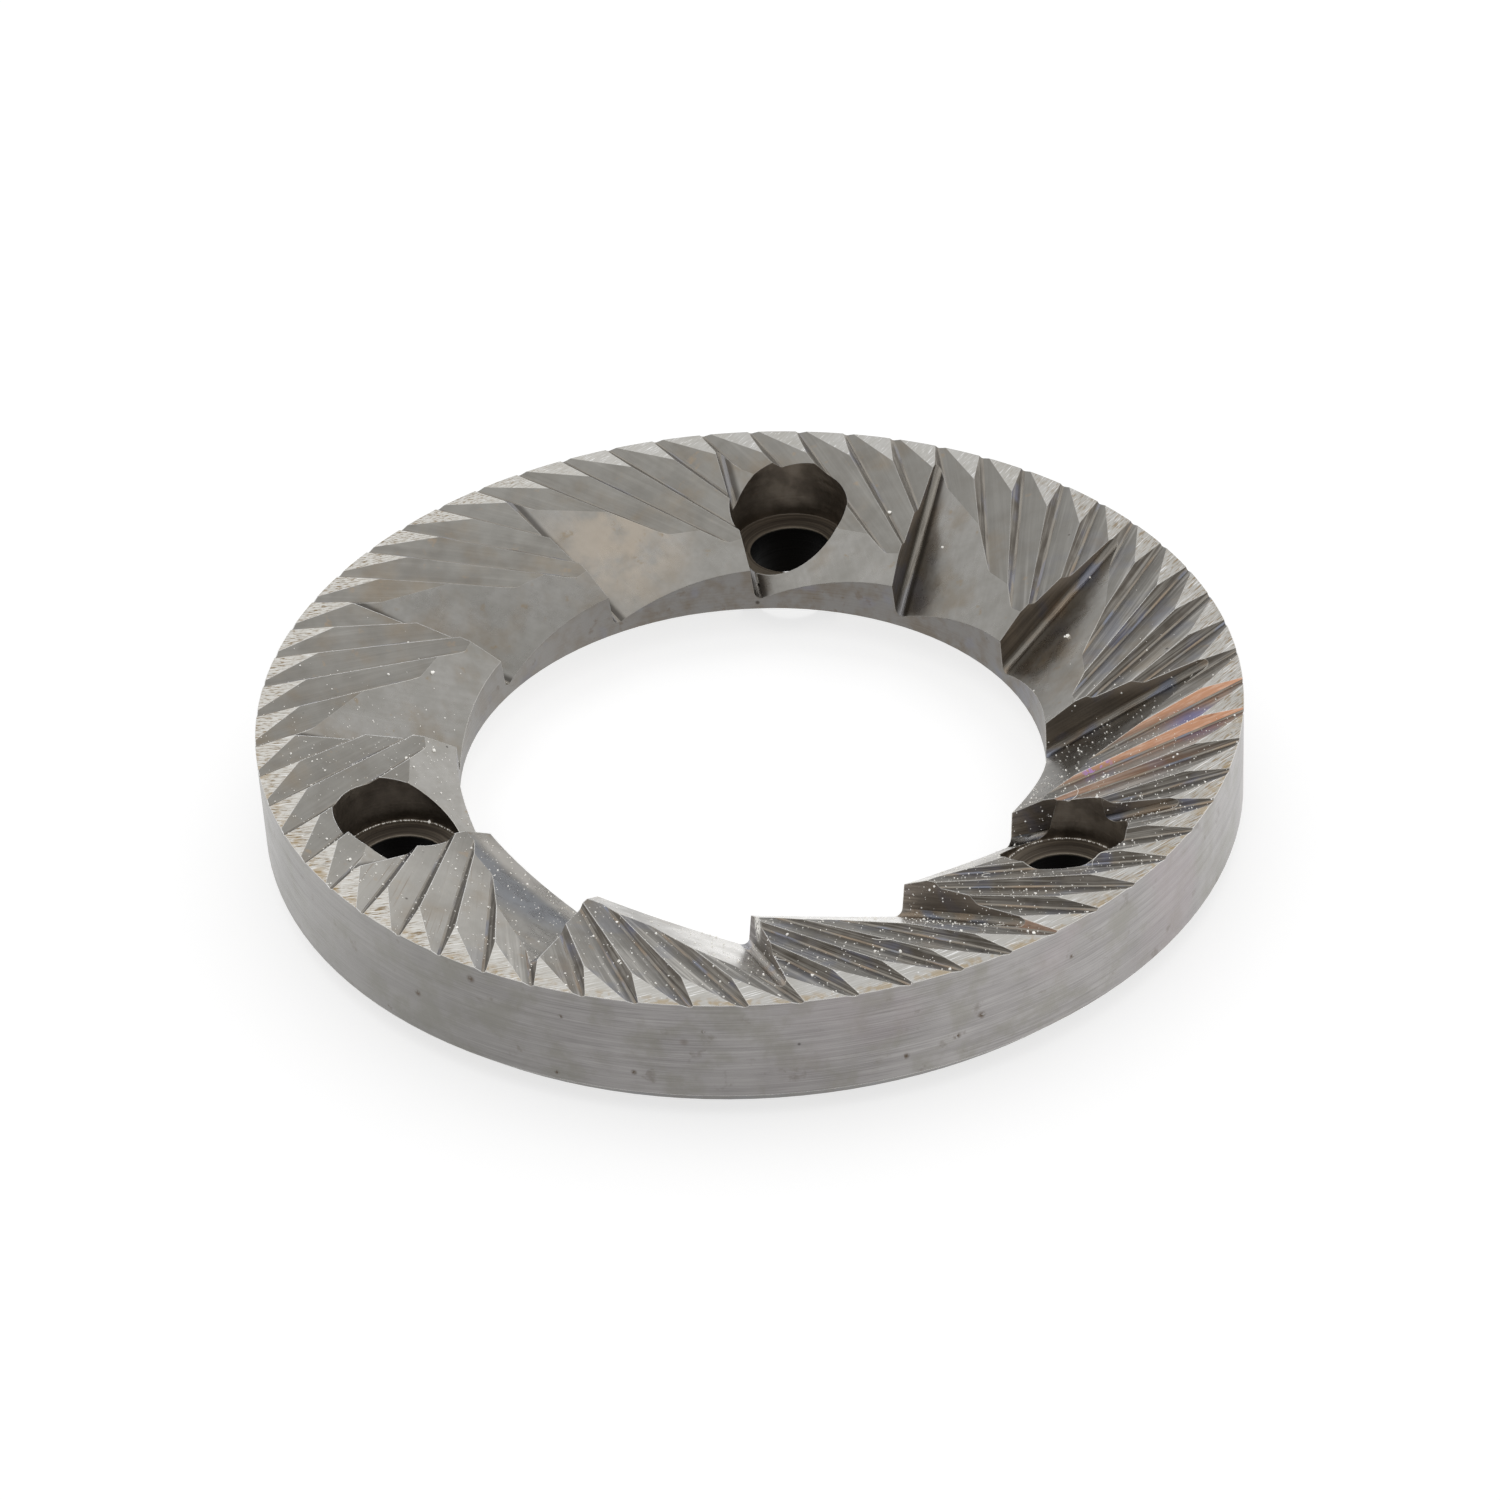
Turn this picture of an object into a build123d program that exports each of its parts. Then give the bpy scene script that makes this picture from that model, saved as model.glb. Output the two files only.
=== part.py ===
from build123d import *
import os
from math import cos, radians, sin, tan

# Ring blank, millimetres: back face on z = 0, cutting face up
outer_diameter = 64.0
bore_diameter = 38.4
thickness = 8.5
back_chamfer = 1.5
bore_relief_diameter = 45.2
bore_relief_height = 2.35

# Counterbored screw holes, their seats coned like a drill point
screw_count = 3
screw_circle_diameter = 48.9
screw_phase = 81.7
screw_hole_diameter = 5.6
counterbore_diameter = 8.1
counterbore_depth = 4.55
counterbore_seat_drop = 0.3

# Breaker cuts: the deep teeth that open into the bore, angles in degrees
breaker_count = 12
breaker_phase = 27.3
breaker_depth_at_bore = 5.5
breaker_skew = 14.0
breaker_slope = 24.5
breaker_floor_angle = 26.0
breaker_wall_angle = 6.6
breaker_root_radius = 0.4
breaker_floor_width = 12.0
breaker_overrun = 7.0

# Grinding grooves: the fine teeth that reach the rim, angles in degrees
grooves_per_breaker = 5
groove_phase = 3.76
groove_depth_at_rim = 0.15
groove_skew = 30.2
groove_slope = 7.1
groove_floor_angle = 20.8
groove_wall_angle = 52.0
groove_root_radius = 0.2
groove_floor_width = 5.0
groove_length = 15.5

# Clear height that every cutter keeps above the cutting face
cutter_clearance = 1.0

outer_radius = outer_diameter / 2
bore_radius = bore_diameter / 2


def ring_blank():
    """Turned ring with a chamfered back corner and a relieved bore."""
    outline = Polyline(
        (bore_radius, bore_relief_height),
        (bore_relief_diameter / 2, 0),
        (outer_radius - back_chamfer, 0),
        (outer_radius, back_chamfer),
        (outer_radius, thickness),
        (bore_radius, thickness),
        close=True,
    )
    return revolve(Plane.XZ * make_face(outline), Axis.Z)


def notch_profile(floor_angle, wall_angle, root_radius, floor_width, height):
    """Lopsided V: gentle floor on the left, steep wall on the right, rounded root."""
    notch = make_face(Polyline(
        (0, 0),
        (height * tan(radians(wall_angle)), height),
        (-floor_width, height),
        (-floor_width, floor_width * tan(radians(floor_angle))),
        close=True,
    ))
    root = notch.vertices().sort_by(Axis.Y)[0]
    return fillet(root, root_radius)


def cutter(profile, root, bearing, slope, inward, outward):
    """A notch swept along its straight root line, which climbs as it runs outwards."""
    level = Vector(cos(bearing), sin(bearing), 0)
    climb = (level + Vector(0, 0, tan(slope))).normalized()
    across = Vector(-level.Y, level.X, 0)
    start = Plane(origin=root - climb * inward, x_dir=across, z_dir=climb)
    return extrude(start * profile, amount=inward + outward)


def cutter_ring(count, phase, radius, depth, skew, slope, profile, inward):
    """Evenly spaced cutters whose root lines cross one circle and climb out of the face."""
    outward = (depth + cutter_clearance) / sin(radians(slope))
    cutters = []
    for index in range(count):
        angle = radians(phase + 360 / count * index)
        root = Vector(radius * cos(angle), radius * sin(angle), thickness - depth)
        bearing = angle + radians(skew)
        cutters.append(cutter(profile, root, bearing, radians(slope), inward, outward))
    return cutters


def breaker_cutters():
    """Deep cuts, measured from the bore."""
    reach = breaker_overrun * sin(radians(breaker_slope))
    profile = notch_profile(
        breaker_floor_angle, breaker_wall_angle, breaker_root_radius,
        breaker_floor_width, breaker_depth_at_bore + reach + cutter_clearance,
    )
    return cutter_ring(
        breaker_count, breaker_phase, bore_radius, breaker_depth_at_bore,
        breaker_skew, breaker_slope, profile, breaker_overrun,
    )


def groove_cutters():
    """Fine cuts, measured from the rim; each deepens inwards until a breaker takes over."""
    reach = groove_length * sin(radians(groove_slope))
    profile = notch_profile(
        groove_floor_angle, groove_wall_angle, groove_root_radius,
        groove_floor_width, groove_depth_at_rim + reach + cutter_clearance,
    )
    return cutter_ring(
        breaker_count * grooves_per_breaker, groove_phase, outer_radius,
        groove_depth_at_rim, groove_skew, groove_slope, profile, groove_length,
    )


def screw_cutters():
    """Stepped drill shapes on the screw circle."""
    hole_radius = screw_hole_diameter / 2
    counterbore_radius = counterbore_diameter / 2
    seat = thickness - counterbore_depth
    outline = Polyline(
        (0, -cutter_clearance),
        (hole_radius, -cutter_clearance),
        (hole_radius, seat - counterbore_seat_drop),
        (counterbore_radius, seat),
        (counterbore_radius, thickness + cutter_clearance),
        (0, thickness + cutter_clearance),
        close=True,
    )
    drill = revolve(Plane.XZ * make_face(outline), Axis.Z)
    places = PolarLocations(screw_circle_diameter / 2, screw_count, screw_phase)
    return [place * drill for place in places]


burr = ring_blank() - (breaker_cutters() + groove_cutters() + screw_cutters())

os.makedirs("parts", exist_ok=True)
export_step(burr.solids()[0], "parts/burr.step")
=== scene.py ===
from math import cos, pi, radians, sin

import bmesh
import bpy
import numpy as np
from bpy.props import (
    FloatProperty,
    FloatVectorProperty,
    IntProperty,
    PointerProperty,
)
from bpy.types import Operator, Panel, PropertyGroup
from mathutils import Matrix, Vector
from mathutils.bvhtree import BVHTree


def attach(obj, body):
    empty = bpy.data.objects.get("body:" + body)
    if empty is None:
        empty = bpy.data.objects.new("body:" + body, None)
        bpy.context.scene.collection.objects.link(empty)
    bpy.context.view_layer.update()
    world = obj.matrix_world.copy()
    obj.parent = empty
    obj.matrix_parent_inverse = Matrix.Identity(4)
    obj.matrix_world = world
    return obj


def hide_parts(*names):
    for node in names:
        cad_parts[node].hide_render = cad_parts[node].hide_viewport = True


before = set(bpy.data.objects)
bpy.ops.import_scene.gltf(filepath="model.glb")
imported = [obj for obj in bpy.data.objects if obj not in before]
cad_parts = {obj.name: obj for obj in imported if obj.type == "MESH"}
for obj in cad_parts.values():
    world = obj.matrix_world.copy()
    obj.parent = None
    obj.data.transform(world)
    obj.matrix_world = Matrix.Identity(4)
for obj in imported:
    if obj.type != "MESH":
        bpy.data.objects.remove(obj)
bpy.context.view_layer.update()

bl_info = {
    "name": "Grinder burr dresser",
    "version": (1, 0, 0),
    "blender": (4, 5, 0),
    "location": "View3D > Sidebar > Burr",
    "description": "Dresses a flat coffee grinder burr in worn, stained tool steel and sets up its studio",
    "category": "Object",
}

MM = 0.001
# Radius of the rim in millimetres
RIM = 32.0


def linear(colour):
    """An sRGB hex value as linear red, green and blue."""
    parts = [int(colour[i : i + 2], 16) / 255 for i in (0, 2, 4)]
    return tuple(c / 12.92 if c <= 0.04045 else ((c + 0.055) / 1.055) ** 2.4 for c in parts)


def size(name, text, value):
    """A length property, stored in metres and given here in millimetres."""
    return FloatProperty(
        name=name, description=text, default=value * MM, min=0, precision=5, unit="LENGTH"
    )


def angle(name, text, value):
    """An angle property, given here in degrees."""
    return FloatProperty(name=name, description=text, default=radians(value), subtype="ANGLE")


def paint(name, text, value):
    """A colour property, given here as sRGB hex."""
    return FloatVectorProperty(
        name=name, description=text, default=linear(value), size=3, min=0, max=1, subtype="COLOR"
    )


class BurrRing(PropertyGroup):
    """The turned blank and its screw holes, as the solid has them."""

    outer: size("Outer radius", "Radius of the rim", RIM)
    bore: size("Bore radius", "Radius of the bore", 19.2)
    thickness: size("Thickness", "Back face to cutting face", 8.5)
    relief: size("Bore relief", "Height of the cone round the back of the bore", 2.35)
    screw_circle: size("Screw circle", "Radius of the circle of screw holes", 24.45)
    screw_phase: angle("Screw phase", "Bearing of the first screw hole", 81.7)
    screw_count: IntProperty(name="Screw holes", description="Number of screw holes", default=3, min=1)
    counterbore: size("Counterbore", "Radius of a screw head's recess", 4.05)
    seat_height: size("Seat height", "Height of the recess's floor at its wall", 3.95)


class BreakerCuts(PropertyGroup):
    """The deep cuts that open into the bore."""

    count: IntProperty(name="Count", description="Number of breaker cuts", default=12, min=1)
    phase: angle("Phase", "Bearing of the first root where it meets the bore", 27.3)
    radius: size("Start radius", "Radius at which the depth is given", 19.2)
    depth: size("Depth", "Depth of the root below the cutting face there", 5.5)
    skew: angle("Skew", "Turn of the root line from the radius", 14.0)
    slope: angle("Slope", "Climb of the root line outwards", 24.5)
    floor: angle("Floor angle", "Tilt of the long floor", 26.0)
    flank: angle("Flank angle", "Lean of the steep flank from upright", 6.6)
    root: size("Root radius", "Rounding between floor and flank", 0.4)


class GrindingGrooves(PropertyGroup):
    """The fine cuts that reach the rim."""

    count: IntProperty(name="Count", description="Number of grinding grooves", default=60, min=1)
    phase: angle("Phase", "Bearing of the first root where it meets the rim", 3.76)
    radius: size("Start radius", "Radius at which the depth is given", 32.0)
    depth: size("Depth", "Depth of the root below the cutting face there", 0.15)
    skew: angle("Skew", "Turn of the root line from the radius", 30.2)
    slope: angle("Slope", "Climb of the root line outwards", 7.1)
    floor: angle("Floor angle", "Tilt of the long floor", 20.8)
    flank: angle("Flank angle", "Lean of the steep flank from upright", 52.0)
    root: size("Root radius", "Rounding between floor and flank", 0.2)


class SteelLook(PropertyGroup):
    """Colours of the steel, by the way each surface was made and put to use."""

    ground: paint("Ground", "Surface-ground lands", "C5C4C1")
    floor: paint("Breaker floor", "Milled floors of the breaker cuts", "ADABA7")
    cut: paint("Groove floor", "Milled floors of the grooves", "918F8A")
    flank: paint("Flank", "Flanks of the grinding grooves", "7F7A73")
    wall: paint("Breaker wall", "Steep walls of the breaker cuts", "857C72")
    root: paint("Root", "Rounded roots of the cuts", "938E86")
    turned: paint("Turned", "Brushed rim", "989594")
    bored: paint("Bored", "Wall of the bore", "716F6D")
    drilled: paint("Drilled", "Screw recesses", "9C9184")
    oil: paint("Coffee stain", "Dried coffee oil on the steel", "8A7658")
    # Also the colour of the painted shadow beside the roots on the far left
    soot_and_shadow: paint("Dark residue", "Packed coffee fines in corners and pits", "2E2823")
    copper: paint("Copper tint", "Heat tint on a few grooves", "E7AE8B")
    violet: paint("Blue tint", "Tempering blue in the cuts", "6F7590")


class DustLook(PropertyGroup):
    """Bright grit and fibres left on the teeth."""

    tint: paint("Colour", "Colour of the grit", "F4F2EC")
    count: IntProperty(name="Grains", description="Number of grains on the teeth", default=2600, min=0)
    grain: size("Grain", "Radius of a common grain", 0.033)
    fibres: IntProperty(name="Fibres", description="Number of curled fibres", default=7, min=0)
    seed: IntProperty(name="Seed", description="Seed of the places of grains and fibres", default=7)


class StudioLook(PropertyGroup):
    """Floor, room, lamp and lens."""

    focal_length: FloatProperty(
        name="Focal length", description="Lens on a 36 mm sensor", default=127.685, min=1, unit="CAMERA"
    )
    backdrop: paint("Backdrop", "Colour that the floor and the room behind it show", "FFFFFF")
    board: paint("Board", "Colour in which the floor takes light and shadow", "B8B8B8")
    lamp_power: FloatProperty(
        name="Lamp power", description="Power of the overhead soft box", default=0.32, min=0, unit="POWER"
    )


def node(tree, kind, inputs=None, **settings):
    """Add one node with its settings; an input takes a value or another node's output."""
    made = tree.nodes.new(kind)
    for name, value in settings.items():
        setattr(made, name, value)
    for socket, value in (inputs or {}).items():
        if isinstance(value, bpy.types.NodeSocket):
            tree.links.new(value, made.inputs[socket])
        else:
            made.inputs[socket].default_value = value
    return made


def shade(value):
    """An sRGB hex value, or a colour property, as the value of a colour socket."""
    return (*(linear(value) if isinstance(value, str) else value), 1.0)


def product(tree, *factors):
    """Factors multiplied with one another."""
    made = factors[0]
    for factor in factors[1:]:
        made = node(tree, "ShaderNodeMath", {0: made, 1: factor}, operation="MULTIPLY").outputs[0]
    return made


def layer(tree, below, above, *factors):
    """One colour laid over another by the product of some factors; hex, a property or an output."""
    below, above = (
        colour if isinstance(colour, bpy.types.NodeSocket) else shade(colour)
        for colour in (below, above)
    )
    inputs = {"Factor": product(tree, *factors), 6: below, 7: above}
    return node(tree, "ShaderNodeMix", inputs, data_type="RGBA").outputs[2]


def coats(tree, tint, *rows):
    """A colour under coats of others, from the lowest up; each row has a colour and its factors."""
    for colour, *factors in rows:
        tint = layer(tree, tint, colour, *factors)
    return tint


def band(tree, value, start, end, low=0.0, high=1.0):
    """Low before start, high after end, smooth between."""
    return node(
        tree,
        "ShaderNodeMapRange",
        {"Value": value, "From Min": start, "From Max": end, "To Min": low, "To Max": high},
        interpolation_type="SMOOTHSTEP",
    ).outputs[0]


def surface_place(tree, along=1.0, across=1.0):
    """The tool's path in X and across it in Y, in marks of so many millimetres."""
    place = node(tree, "ShaderNodeUVMap", uv_map="tool_path").outputs[0]
    return node(
        tree, "ShaderNodeVectorMath", {0: place, 1: (1 / along, 1 / across, 1.0)}, operation="MULTIPLY"
    ).outputs[0]


def solid_place(tree):
    """Millimetres in space, from the centre of the back face."""
    coords = node(tree, "ShaderNodeTexCoord").outputs["Object"]
    scaled = node(tree, "ShaderNodeVectorMath", {0: coords, "Scale": 1 / MM}, operation="SCALE")
    return scaled.outputs[0]


def patches(tree, place, mark, low, high, detail=3.0, seed=0.0):
    """Soft-edged patches about one mark wide: 0 below low, 1 above high."""
    noise = node(
        tree,
        "ShaderNodeTexNoise",
        {"Vector": place, "W": seed, "Scale": 1 / mark, "Detail": detail, "Roughness": 0.6},
        noise_dimensions="4D",
    )
    return band(tree, noise.outputs["Fac"], low, high)


def streaks(tree, along, across, low=0.3, high=0.7, seed=0.0):
    """Marks drawn out along the tool's path."""
    return patches(tree, surface_place(tree, along, across), 1.0, low, high, 4.0, seed)


def spots(tree, place, spacing, share, width, seed=0.0):
    """Round spots on a share of the cells of a loose grid, 1 in the middle of a spot."""
    cells = node(
        tree,
        "ShaderNodeTexVoronoi",
        {"Vector": place, "W": seed, "Scale": 1 / spacing},
        voronoi_dimensions="4D",
    )
    lot = node(tree, "ShaderNodeSeparateColor", {0: cells.outputs["Color"]}).outputs[0]
    picked = node(tree, "ShaderNodeMath", {0: lot, 1: share}, operation="LESS_THAN").outputs[0]
    return product(tree, picked, band(tree, cells.outputs["Distance"], width, width * 0.4))


def marks(tree):
    """What the mesh marks on its faces: heat tint in X, share of grit in Y."""
    place = node(tree, "ShaderNodeUVMap", uv_map="marks").outputs[0]
    return node(tree, "ShaderNodeSeparateXYZ", {0: place}).outputs


# Cosines between the rounded normal and the flat one where an edge's painted highlight starts to show and
# is full
EDGE_STARTS = 0.998
EDGE_FULL = 0.96
EDGE_RADIUS = 0.08 * MM
# Height of the tool's marks, and the share of it that the soft marks of a floor have
RELIEF = 0.015 * MM
SOFT_RELIEF = 0.4


def steel(name, paint_on, look):
    """Bare tool steel; paint_on gives its colour, roughness and relief from the mask of its painted edge
    highlights.
    """
    material = bpy.data.materials.new(name)
    material.use_nodes = True
    tree = material.node_tree
    tree.nodes.clear()
    rounded = node(tree, "ShaderNodeBevel", {"Radius": EDGE_RADIUS}, samples=6).outputs[0]
    flat = node(tree, "ShaderNodeNewGeometry").outputs["Normal"]
    even = node(tree, "ShaderNodeVectorMath", {0: rounded, 1: flat}, operation="DOT_PRODUCT")
    turned = band(tree, even.outputs["Value"], EDGE_STARTS, EDGE_FULL)
    # Edges get a painted highlight, strongest where the grit share is high on the near side and dull
    # elsewhere
    grit_side = band(tree, marks(tree)["Y"], 0, 0.12, 0.2, 1.0)
    edge = product(tree, turned, grit_side)
    tint, roughness, height = paint_on(tree, look, edge)
    relief = node(
        tree,
        "ShaderNodeBump",
        {"Height": height, "Strength": 0.5, "Distance": RELIEF, "Normal": rounded},
    )
    shader = node(
        tree,
        "ShaderNodeBsdfPrincipled",
        {"Base Color": tint, "Metallic": 1.0, "Roughness": roughness, "Normal": relief.outputs[0]},
    )
    node(tree, "ShaderNodeOutputMaterial", {"Surface": shader.outputs[0]})
    return material


def axes(tree):
    """Millimetres in space, axis by axis."""
    return node(tree, "ShaderNodeSeparateXYZ", {0: solid_place(tree)}).outputs


def from_axis(tree):
    """Millimetres from the ring's axis."""
    flat = node(
        tree, "ShaderNodeVectorMath", {0: solid_place(tree), 1: (1, 1, 0)}, operation="MULTIPLY"
    ).outputs[0]
    return node(tree, "ShaderNodeVectorMath", {0: flat}, operation="LENGTH").outputs["Value"]


def near(tree, centre, inner, outer):
    """1 within inner millimetres of a point, 0 beyond outer."""
    away = node(
        tree, "ShaderNodeVectorMath", {0: solid_place(tree), 1: centre}, operation="DISTANCE"
    ).outputs["Value"]
    return band(tree, away, outer, inner)


def worked_side(tree):
    """1 on the near right half of the ring, where the cutter's lines show, 0 on the far left."""
    place = node(
        tree, "ShaderNodeVectorMath", {0: solid_place(tree), 1: (0.7, -0.7, 0)}, operation="DOT_PRODUCT"
    ).outputs["Value"]
    return band(tree, place, -4.0, 20.0)


# Marks that lie in one place: the middle, and the distances in millimetres within which each
# is full and beyond which it is gone
TAN_FLOOR = ((-8.4, 22.2, 6.3), 1.5, 7.0)
TAN_SPOT = ((20.2, 7.2, 5.2), 0.5, 3.5)
# Painted reflection: the near breaker floors lighter, where they mirror the bright room
PAINTED_REFLECTION_FLOOR = ((4.0, -21.5, 4.5), 6.0, 12.0)
# A near-left breaker floor, lighter within about 20 mm of the axis and blue-grey further out
PALE_AND_BLUE_FLOOR = ((-14.6, -14.2, 5.0), 4.0, 7.0)
# Grooves made lighter, with brown streaks of coffee oil
PALE_OILY_GROOVES = ((-21.0, -21.0, 8.0), 5.0, 11.0)
BLUED_GROOVE = ((28.4, -5.2, 8.1), 0.6, 2.6)
PALE_FLANKS = ((-2.0, 26.0, 8.0), 8.0, 18.0)
VIOLET_GLINTS = ((21.9, -8.3, 7.2), 0.6, 1.3)
CHIPPED_WALL = ((-0.3, -21.2, 6.3), 0.4, 1.4)
DARK_RECESS = ((-22.7, -9.0, 5.0), 4.0, 6.0)


# Steel that was surface ground leaves flat bright lands with fine straight scratches, and
# coffee oil has dried brown in the scratches next to the rim
def ground_steel(tree, look, edge):
    space = solid_place(tree)
    scratches = streaks(tree, 3.0, 0.1, 0.2, 0.8)
    rim = band(tree, from_axis(tree), 28.6, 31.2)
    left = band(tree, axes(tree)["X"], -6.0, -22.0)
    right = band(tree, axes(tree)["X"], 14.0, 26.0, 0.0, 0.8)
    sides = node(tree, "ShaderNodeMath", {0: left, 1: right}, operation="MAXIMUM").outputs[0]
    stained = streaks(tree, 0.9, 0.11, 0.5, 0.6, 4.0)
    fine = streaks(tree, 1.5, 0.09, 0.58, 0.66, 9.0)
    verge = band(tree, from_axis(tree), 30.9, 31.8)
    nearer = band(tree, axes(tree)["Y"], 4.0, -8.0)
    crust = patches(tree, space, 0.8, 0.45, 0.6, 3.0, 6.0)
    bright = streaks(tree, 2.0, 0.1, 0.55, 0.66, 12.0)
    grit = spots(tree, space, 0.42, 0.2, 0.2, 5.0)
    pits = spots(tree, space, 0.6, 0.12, 0.2, 8.0)
    tint = coats(
        tree,
        look.ground,
        ("B9B7B1", patches(tree, space, 2.2, 0.35, 0.7)),
        ("E4E2DC", band(tree, axes(tree)["X"], 4.0, -26.0), 0.95),
        ("9E9A93", scratches, 0.5),
        (look.oil, stained, rim, sides),
        ("6F6250", fine, sides, 0.8),
        ("A58D63", crust, verge, nearer, 0.6),
        ("FFFFFF", bright, 0.7),
        ("FFFFFF", grit, marks(tree)["Y"]),
        (look.soot_and_shadow, pits, marks(tree)["Y"], 0.8),
        # Painted highlight on the edges
        ("F2F0EC", edge, 0.8),
    )
    return tint, band(tree, scratches, 0, 1, 0.28, 0.42), scratches


# Steel that was milled and tempered keeps a satin floor, mottled by coffee oil, pitted here and
# there, and blackened where coffee packs into the root and, on the far left, by painted shadow
def floor_steel(tree, look, edge):
    space = solid_place(tree)
    lines = streaks(tree, 12.0, 0.3, 0.2, 0.8)
    mottle = patches(tree, space, 0.7, 0.35, 0.7, 5.0)
    oiled = patches(tree, space, 3.8, 0.48, 0.7, 4.0, 7.0)
    worn_tan = patches(tree, space, 2.6, 0.34, 0.6, 5.0, 5.0)
    dabs = patches(tree, space, 0.9, 0.62, 0.74, 3.0, 2.0)
    across = node(tree, "ShaderNodeSeparateXYZ", {0: surface_place(tree)}).outputs["Y"]
    far_side_shadow = band(tree, worked_side(tree), 0.15, 0, 0, 0.65)
    pale_and_blue = near(tree, *PALE_AND_BLUE_FLOOR)
    specks = spots(tree, space, 0.5, 0.16, 0.2, 8.0)
    worn = patches(tree, space, 1.8, 0.3, 0.75)
    tint = coats(
        tree,
        look.floor,
        ("A09E99", patches(tree, space, 3.2, 0.35, 0.7)),
        ("8A8781", lines, 0.25),
        ("87837B", mottle, 0.25),
        (look.oil, oiled, 0.35),
        ("C4B7A6", near(tree, *TAN_FLOOR), worn_tan, 0.6),
        ("A6906F", near(tree, *TAN_SPOT), worn_tan, 0.45),
        # Painted reflection on the near breaker floors
        ("E0DEDA", near(tree, *PAINTED_REFLECTION_FLOOR), 0.8),
        ("9A8668", dabs, 0.5),
        (look.soot_and_shadow, band(tree, across, 1.2, 0.2), 0.12),
        # Painted shadow in the strip beside the roots on the far left
        (look.soot_and_shadow, band(tree, across, 1.1, 0.75), far_side_shadow),
        # Lighter within about 20 mm of the axis, blue-grey beyond about 21 mm
        ("EAE6E0", pale_and_blue, band(tree, from_axis(tree), 21.4, 20.2), 0.4),
        ("7E8694", pale_and_blue, band(tree, from_axis(tree), 20.4, 21.6), 0.6),
        (look.soot_and_shadow, spots(tree, space, 1.1, 0.16, 0.12), 0.8),
        ("6E5A42", spots(tree, space, 2.3, 0.2, 0.16, 3.0), 0.7),
        (look.soot_and_shadow, specks, marks(tree)["Y"], 0.4),
        # Painted highlight on the edges
        ("EEECE6", edge, 0.9),
    )
    return tint, band(tree, worn, 0, 1, 0.26, 0.36), product(tree, mottle, SOFT_RELIEF)


# The floors of the grooves keep the lines of the cutter that drew them, with painted highlights along some
# of them, strongest on the near right
def groove_steel(tree, look, edge):
    space = solid_place(tree)
    lines = streaks(tree, 9.0, 0.16, 0.25, 0.75)
    broad = streaks(tree, 14.0, 0.4, 0.45, 0.7, 3.0)
    worked = worked_side(tree)
    pale_oily = near(tree, *PALE_OILY_GROOVES)
    blued = patches(tree, space, 3.0, 0.5, 0.65, 2.0, 11.0)
    across = node(tree, "ShaderNodeSeparateXYZ", {0: surface_place(tree)}).outputs["Y"]
    corner = band(tree, across, 1.4, 0.2)
    pits = spots(tree, space, 1.3, 0.2, 0.13)
    specks = spots(tree, space, 0.5, 0.16, 0.2, 8.0)
    worn = patches(tree, space, 1.8, 0.3, 0.75)
    rough = node(tree, "ShaderNodeMath", {0: lines, 1: worn}, operation="ADD").outputs[0]
    tint = coats(
        tree,
        look.cut,
        ("86837D", patches(tree, space, 3.2, 0.35, 0.7)),
        ("6D6964", lines, band(tree, worked, 0, 1, 0.15, 0.65)),
        # Light streaks along the cutter's path, partly its marks and partly painted highlight, strongest
        # on the near right
        ("E6E3DD", broad, band(tree, worked, 0, 1, 0.06, 0.7)),
        # Lighter on the near left, then brown streaks of coffee oil there
        ("C9C6C0", pale_oily, 0.35),
        ("7D6A58", streaks(tree, 7.0, 0.13, 0.58, 0.68, 13.0), pale_oily, 0.5),
        ("767B8C", blued, worked, 0.5),
        ("6E6FA0", near(tree, *BLUED_GROOVE), 0.8),
        (look.oil, patches(tree, space, 4.5, 0.5, 0.75, 4.0, 7.0), 0.4),
        ("AA9274", patches(tree, space, 1.1, 0.62, 0.75, 3.0, 2.0), 0.4),
        (look.soot_and_shadow, corner, band(tree, worked, 0, 1, 0.05, 0.3)),
        (look.soot_and_shadow, pits, 0.85),
        (look.soot_and_shadow, specks, marks(tree)["Y"], 0.6),
        # Painted highlight on the edges
        ("FFFFFF", edge),
    )
    return tint, band(tree, worn, 0, 1, 0.3, 0.44), rough


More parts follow.
